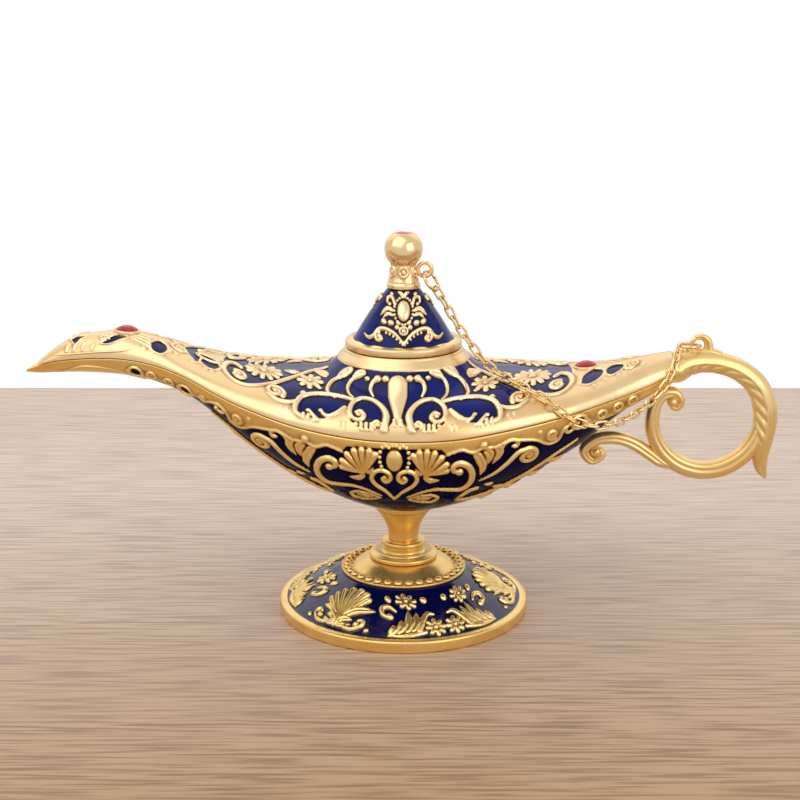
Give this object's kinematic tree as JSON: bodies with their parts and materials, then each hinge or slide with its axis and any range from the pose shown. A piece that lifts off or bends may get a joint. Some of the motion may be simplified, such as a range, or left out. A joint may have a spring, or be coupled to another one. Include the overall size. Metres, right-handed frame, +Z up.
{
  "type": "oil lamp",
  "caption": "Boat-shaped genie oil lamp on a turned round foot, with a long spout, a scrolled finger-ring handle, a lift-off conical lid and a fine chain from lid to handle.",
  "frame": {"origin": "middle of the foot's underside, where the lamp stands on the table", "axes": "+Z up; +X along the lamp's length towards the handle, with the spout at -X; +Y to the side away from the hanging chain"},
  "size_m": [0.2199, 0.0746, 0.1146],
  "materials": {
    "enamel": "glossy dark blue enamel with raised gilt ornament",
    "gold": "satin to bright gilt",
    "chain_gold": "gilt wire",
    "stone": "faceted red glass",
    "steel": "plain"
  },
  "bodies": {
    "lamp": {"foot_shell": "enamel", "foot_dome": "gold", "stem_knop": "gold", "stem": "gold", "tie_washer": "steel", "tie_bolt": "steel", "tie_nut": "steel", "lower_shell": "enamel", "upper_shell": "enamel", "spout_stone": "stone", "rear_stone": "stone", "handle": "gold"},
    "lid": {"lid_shell": "enamel", "finial": "gold", "finial_stone": "stone", "lid_screw": "steel"},
    "handle_ring": {"handle_ring": "chain_gold"},
    "chain_link_33": {"chain_link_33": "chain_gold"},
    "chain_link_32": {"chain_link_32": "chain_gold"},
    "chain_link_31": {"chain_link_31": "chain_gold"},
    "chain_link_30": {"chain_link_30": "chain_gold"},
    "chain_link_29": {"chain_link_29": "chain_gold"},
    "chain_link_28": {"chain_link_28": "chain_gold"},
    "chain_link_27": {"chain_link_27": "chain_gold"},
    "chain_link_26": {"chain_link_26": "chain_gold"},
    "chain_link_25": {"chain_link_25": "chain_gold"},
    "chain_link_24": {"chain_link_24": "chain_gold"},
    "chain_link_23": {"chain_link_23": "chain_gold"},
    "chain_link_22": {"chain_link_22": "chain_gold"},
    "chain_link_21": {"chain_link_21": "chain_gold"},
    "chain_link_20": {"chain_link_20": "chain_gold"},
    "chain_link_19": {"chain_link_19": "chain_gold"},
    "chain_link_18": {"chain_link_18": "chain_gold"},
    "chain_link_17": {"chain_link_17": "chain_gold"},
    "chain_link_16": {"chain_link_16": "chain_gold"},
    "chain_link_15": {"chain_link_15": "chain_gold"},
    "chain_link_14": {"chain_link_14": "chain_gold"},
    "chain_link_13": {"chain_link_13": "chain_gold"},
    "chain_link_12": {"chain_link_12": "chain_gold"},
    "chain_link_11": {"chain_link_11": "chain_gold"},
    "chain_link_10": {"chain_link_10": "chain_gold"},
    "chain_link_09": {"chain_link_09": "chain_gold"},
    "chain_link_08": {"chain_link_08": "chain_gold"},
    "chain_link_07": {"chain_link_07": "chain_gold"},
    "chain_link_06": {"chain_link_06": "chain_gold"},
    "chain_link_05": {"chain_link_05": "chain_gold"},
    "chain_link_04": {"chain_link_04": "chain_gold"},
    "chain_link_03": {"chain_link_03": "chain_gold"},
    "chain_link_02": {"chain_link_02": "chain_gold"},
    "chain_link_01": {"chain_link_01": "chain_gold"},
    "lid_ring": {"lid_ring": "chain_gold"}
  },
  "joints": [
    {"name": "lid_lift", "type": "slide", "parent": "lamp", "child": "lid", "axis": [0, 0, 1], "range_m": [0, 0.03]},
    {"name": "handle_ring_swing", "type": "hinge", "parent": "lamp", "child": "handle_ring", "pos_m": [0.0859, 0, 0.0808], "axis": [0, 1, 0], "range_deg": [-1, 16.1]},
    {"name": "chain_link_33_swing", "type": "hinge", "parent": "handle_ring", "child": "chain_link_33", "pos_m": [0.08075, -0.00233, 0.0809], "axis": [-0.4448, 0.0432, -0.8946], "range_deg": [-1, 23.1]},
    {"name": "chain_link_32_swing", "type": "hinge", "parent": "chain_link_33", "child": "chain_link_32", "pos_m": [0.07909, -0.00504, 0.08013], "axis": [-0.9455, -0.2427, -0.2173], "range_deg": [-1, 5.3]},
    {"name": "chain_link_31_swing", "type": "hinge", "parent": "chain_link_32", "child": "chain_link_31", "pos_m": [0.07827, -0.00717, 0.07783], "axis": [-0.9596, -0.0479, 0.2772], "range_deg": [-1, 19]},
    {"name": "chain_link_30_swing", "type": "hinge", "parent": "chain_link_31", "child": "chain_link_30", "pos_m": [0.07732, -0.00839, 0.07497], "axis": [0.1417, 0.9079, 0.3945], "range_deg": [-1, 8.8]},
    {"name": "chain_link_29_swing", "type": "hinge", "parent": "chain_link_30", "child": "chain_link_29", "pos_m": [0.07587, -0.00907, 0.07211], "axis": [0.7987, 0.5232, 0.2973], "range_deg": [-1, 9.2]},
    {"name": "chain_link_28_swing", "type": "hinge", "parent": "chain_link_29", "child": "chain_link_28", "pos_m": [0.07391, -0.01005, 0.06968], "axis": [0.7012, 0.6234, 0.3459], "range_deg": [-1, 11.8]},
    {"name": "chain_link_27_swing", "type": "hinge", "parent": "chain_link_28", "child": "chain_link_27", "pos_m": [0.07171, -0.01141, 0.06768], "axis": [0.7903, 0.2195, 0.572], "range_deg": [-1, 12.9]},
    {"name": "chain_link_26_swing", "type": "hinge", "parent": "chain_link_27", "child": "chain_link_26", "pos_m": [0.06944, -0.01333, 0.0663], "axis": [0.7983, 0.1003, 0.5938], "range_deg": [-1, 10]},
    {"name": "chain_link_25_swing", "type": "hinge", "parent": "chain_link_26", "child": "chain_link_25", "pos_m": [0.06712, -0.0154, 0.06525], "axis": [0.8644, 0.1359, 0.4841], "range_deg": [-1, 6.4]},
    {"name": "chain_link_24_swing", "type": "hinge", "parent": "chain_link_25", "child": "chain_link_24", "pos_m": [0.06476, -0.01747, 0.06431], "axis": [0.9083, 0.0637, 0.4135], "range_deg": [-1, 5]},
    {"name": "chain_link_23_swing", "type": "hinge", "parent": "chain_link_24", "child": "chain_link_23", "pos_m": [0.0623, -0.01952, 0.06362], "axis": [0.8861, -0.0239, 0.4628], "range_deg": [-1, 4.2]},
    {"name": "chain_link_22_swing", "type": "hinge", "parent": "chain_link_23", "child": "chain_link_22", "pos_m": [0.05969, -0.02148, 0.0633], "axis": [0.7958, 0.0333, 0.6047], "range_deg": [-1, 4]},
    {"name": "lid_ring_swing", "type": "hinge", "parent": "lid", "child": "lid_ring", "pos_m": [0.0062, 0, 0.1025], "axis": [0, 1, 0], "range_deg": [-1, 4]},
    {"name": "chain_link_01_swing", "type": "hinge", "parent": "lid_ring", "child": "chain_link_01", "pos_m": [0.00918, -0.00129, 0.09788], "axis": [0.2218, 0.7841, 0.5796], "range_deg": [-1, 20.6]},
    {"name": "chain_link_02_swing", "type": "hinge", "parent": "chain_link_01", "child": "chain_link_02", "pos_m": [0.01093, -0.00199, 0.09519], "axis": [-0.9749, -0.2043, -0.0884], "range_deg": [-1, 23]},
    {"name": "chain_link_03_swing", "type": "hinge", "parent": "chain_link_02", "child": "chain_link_03", "pos_m": [0.01262, -0.00285, 0.09252], "axis": [-0.0404, -0.8756, -0.4814], "range_deg": [-1, 19.5]},
    {"name": "chain_link_04_swing", "type": "hinge", "parent": "chain_link_03", "child": "chain_link_04", "pos_m": [0.01419, -0.00396, 0.08986], "axis": [0.7124, -0.0191, -0.7015], "range_deg": [-1, 18.6]},
    {"name": "chain_link_05_swing", "type": "hinge", "parent": "chain_link_04", "child": "chain_link_05", "pos_m": [0.01582, -0.00516, 0.08728], "axis": [0.8179, 0.3125, -0.4831], "range_deg": [-1, 13.3]},
    {"name": "chain_link_06_swing", "type": "hinge", "parent": "chain_link_05", "child": "chain_link_06", "pos_m": [0.01761, -0.00645, 0.08486], "axis": [0.8615, 0.3292, -0.3865], "range_deg": [-1, 5.9]},
    {"name": "chain_link_07_swing", "type": "hinge", "parent": "chain_link_06", "child": "chain_link_07", "pos_m": [0.01948, -0.00771, 0.08248], "axis": [0.2963, 0.6815, -0.6691], "range_deg": [-1, 4]},
    {"name": "chain_link_08_swing", "type": "hinge", "parent": "chain_link_07", "child": "chain_link_08", "pos_m": [0.02136, -0.00883, 0.08003], "axis": [0.3383, 0.9352, 0.1045], "range_deg": [-1, 4]},
    {"name": "chain_link_09_swing", "type": "hinge", "parent": "chain_link_08", "child": "chain_link_09", "pos_m": [0.02341, -0.01014, 0.07784], "axis": [-0.0354, 0.9923, 0.1183], "range_deg": [-1, 6.8]},
    {"name": "chain_link_10_swing", "type": "hinge", "parent": "chain_link_09", "child": "chain_link_10", "pos_m": [0.02573, -0.01174, 0.07618], "axis": [-0.4689, 0.7601, 0.4498], "range_deg": [-1, 6.8]},
    {"name": "chain_link_11_swing", "type": "hinge", "parent": "chain_link_10", "child": "chain_link_11", "pos_m": [0.02808, -0.01366, 0.07494], "axis": [-0.3754, 0.345, 0.8603], "range_deg": [-1, 8.7]},
    {"name": "chain_link_12_swing", "type": "hinge", "parent": "chain_link_11", "child": "chain_link_12", "pos_m": [0.0302, -0.01607, 0.07428], "axis": [-0.8321, 0.1561, 0.5322], "range_deg": [-1, 5.7]},
    {"name": "chain_link_17_swing", "type": "hinge", "parent": "lamp", "child": "chain_link_17", "pos_m": [0.09666, 0.00443, 0.0875], "axis": [-0.831, 0.5268, -0.1788], "range_deg": [-1, 26.2]},
    {"name": "chain_link_16_swing", "type": "hinge", "parent": "chain_link_17", "child": "chain_link_16", "pos_m": [0.04238, -0.02485, 0.06847], "axis": [0.4538, -0.199, 0.8686], "range_deg": [-1, 23]},
    {"name": "chain_link_15_swing", "type": "hinge", "parent": "chain_link_16", "child": "chain_link_15", "pos_m": [0.04007, -0.02349, 0.07035], "axis": [0.9178, 0.3438, -0.1985], "range_deg": [-1, 6.2]},
    {"name": "chain_link_14_swing", "type": "hinge", "parent": "chain_link_15", "child": "chain_link_14", "pos_m": [0.03743, -0.0221, 0.07169], "axis": [0.9343, 0.0177, -0.3561], "range_deg": [-1, 4.9]},
    {"name": "chain_link_13_swing", "type": "hinge", "parent": "chain_link_14", "child": "chain_link_13", "pos_m": [0.03476, -0.02048, 0.07268], "axis": [0.9643, -0.2604, 0.0479], "range_deg": [-1, 4.9]},
    {"name": "chain_link_18_swing", "type": "hinge", "parent": "chain_link_17", "child": "chain_link_18", "pos_m": [0.04492, -0.02544, 0.0665], "axis": [0.8141, -0.0292, -0.5801], "range_deg": [-1, 23.2]},
    {"name": "chain_link_19_swing", "type": "hinge", "parent": "chain_link_18", "child": "chain_link_19", "pos_m": [0.04763, -0.02523, 0.06468], "axis": [0.6744, 0.7351, 0.0692], "range_deg": [-1, 23.3]},
    {"name": "chain_link_20_swing", "type": "hinge", "parent": "chain_link_19", "child": "chain_link_20", "pos_m": [0.05071, -0.02502, 0.06359], "axis": [0.2131, 0.8157, 0.5378], "range_deg": [-1, 23]},
    {"name": "chain_link_21_swing", "type": "hinge", "parent": "chain_link_20", "child": "chain_link_21", "pos_m": [0.05388, -0.02446, 0.06305], "axis": [-0.719, 0.6919, 0.0649], "range_deg": [-1, 4.8]}
  ],
  "couplings": [
    {"joint": "handle_ring_swing", "follows": "lid_lift", "rad_per_m": 8.8017},
    {"joint": "chain_link_33_swing", "follows": "lid_lift", "rad_per_m": 12.862},
    {"joint": "chain_link_32_swing", "follows": "lid_lift", "rad_per_m": 2.4992},
    {"joint": "chain_link_31_swing", "follows": "lid_lift", "rad_per_m": 10.49},
    {"joint": "chain_link_30_swing", "follows": "lid_lift", "rad_per_m": 4.518},
    {"joint": "chain_link_29_swing", "follows": "lid_lift", "rad_per_m": 4.7774},
    {"joint": "chain_link_28_swing", "follows": "lid_lift", "rad_per_m": 6.2752},
    {"joint": "chain_link_27_swing", "follows": "lid_lift", "rad_per_m": 6.9303},
    {"joint": "chain_link_26_swing", "follows": "lid_lift", "rad_per_m": 5.2292},
    {"joint": "chain_link_25_swing", "follows": "lid_lift", "rad_per_m": 3.1374},
    {"joint": "chain_link_24_swing", "follows": "lid_lift", "rad_per_m": 2.3091},
    {"joint": "chain_link_23_swing", "follows": "lid_lift", "rad_per_m": 1.8685},
    {"joint": "chain_link_22_swing", "follows": "lid_lift", "rad_per_m": 1.7331},
    {"joint": "lid_ring_swing", "follows": "lid_lift", "rad_per_m": 1.7712},
    {"joint": "chain_link_01_swing", "follows": "lid_lift", "rad_per_m": 11.412},
    {"joint": "chain_link_02_swing", "follows": "lid_lift", "rad_per_m": 12.8},
    {"joint": "chain_link_03_swing", "follows": "lid_lift", "rad_per_m": 10.765},
    {"joint": "chain_link_04_swing", "follows": "lid_lift", "rad_per_m": 10.215},
    {"joint": "chain_link_05_swing", "follows": "lid_lift", "rad_per_m": 7.1652},
    {"joint": "chain_link_06_swing", "follows": "lid_lift", "rad_per_m": 2.8567},
    {"joint": "chain_link_07_swing", "follows": "lid_lift", "rad_per_m": 1.7246},
    {"joint": "chain_link_08_swing", "follows": "lid_lift", "rad_per_m": 1.7531},
    {"joint": "chain_link_09_swing", "follows": "lid_lift", "rad_per_m": 3.3881},
    {"joint": "chain_link_10_swing", "follows": "lid_lift", "rad_per_m": 3.3707},
    {"joint": "chain_link_11_swing", "follows": "lid_lift", "rad_per_m": 4.4726},
    {"joint": "chain_link_12_swing", "follows": "lid_lift", "rad_per_m": 2.721},
    {"joint": "chain_link_17_swing", "follows": "lid_lift", "rad_per_m": 14.685},
    {"joint": "chain_link_16_swing", "follows": "lid_lift", "rad_per_m": 12.805},
    {"joint": "chain_link_15_swing", "follows": "lid_lift", "rad_per_m": 3.0371},
    {"joint": "chain_link_14_swing", "follows": "lid_lift", "rad_per_m": 2.2843},
    {"joint": "chain_link_13_swing", "follows": "lid_lift", "rad_per_m": 2.272},
    {"joint": "chain_link_18_swing", "follows": "lid_lift", "rad_per_m": 12.936},
    {"joint": "chain_link_19_swing", "follows": "lid_lift", "rad_per_m": 12.977},
    {"joint": "chain_link_20_swing", "follows": "lid_lift", "rad_per_m": 12.805},
    {"joint": "chain_link_21_swing", "follows": "lid_lift", "rad_per_m": 2.1963}
  ]
}
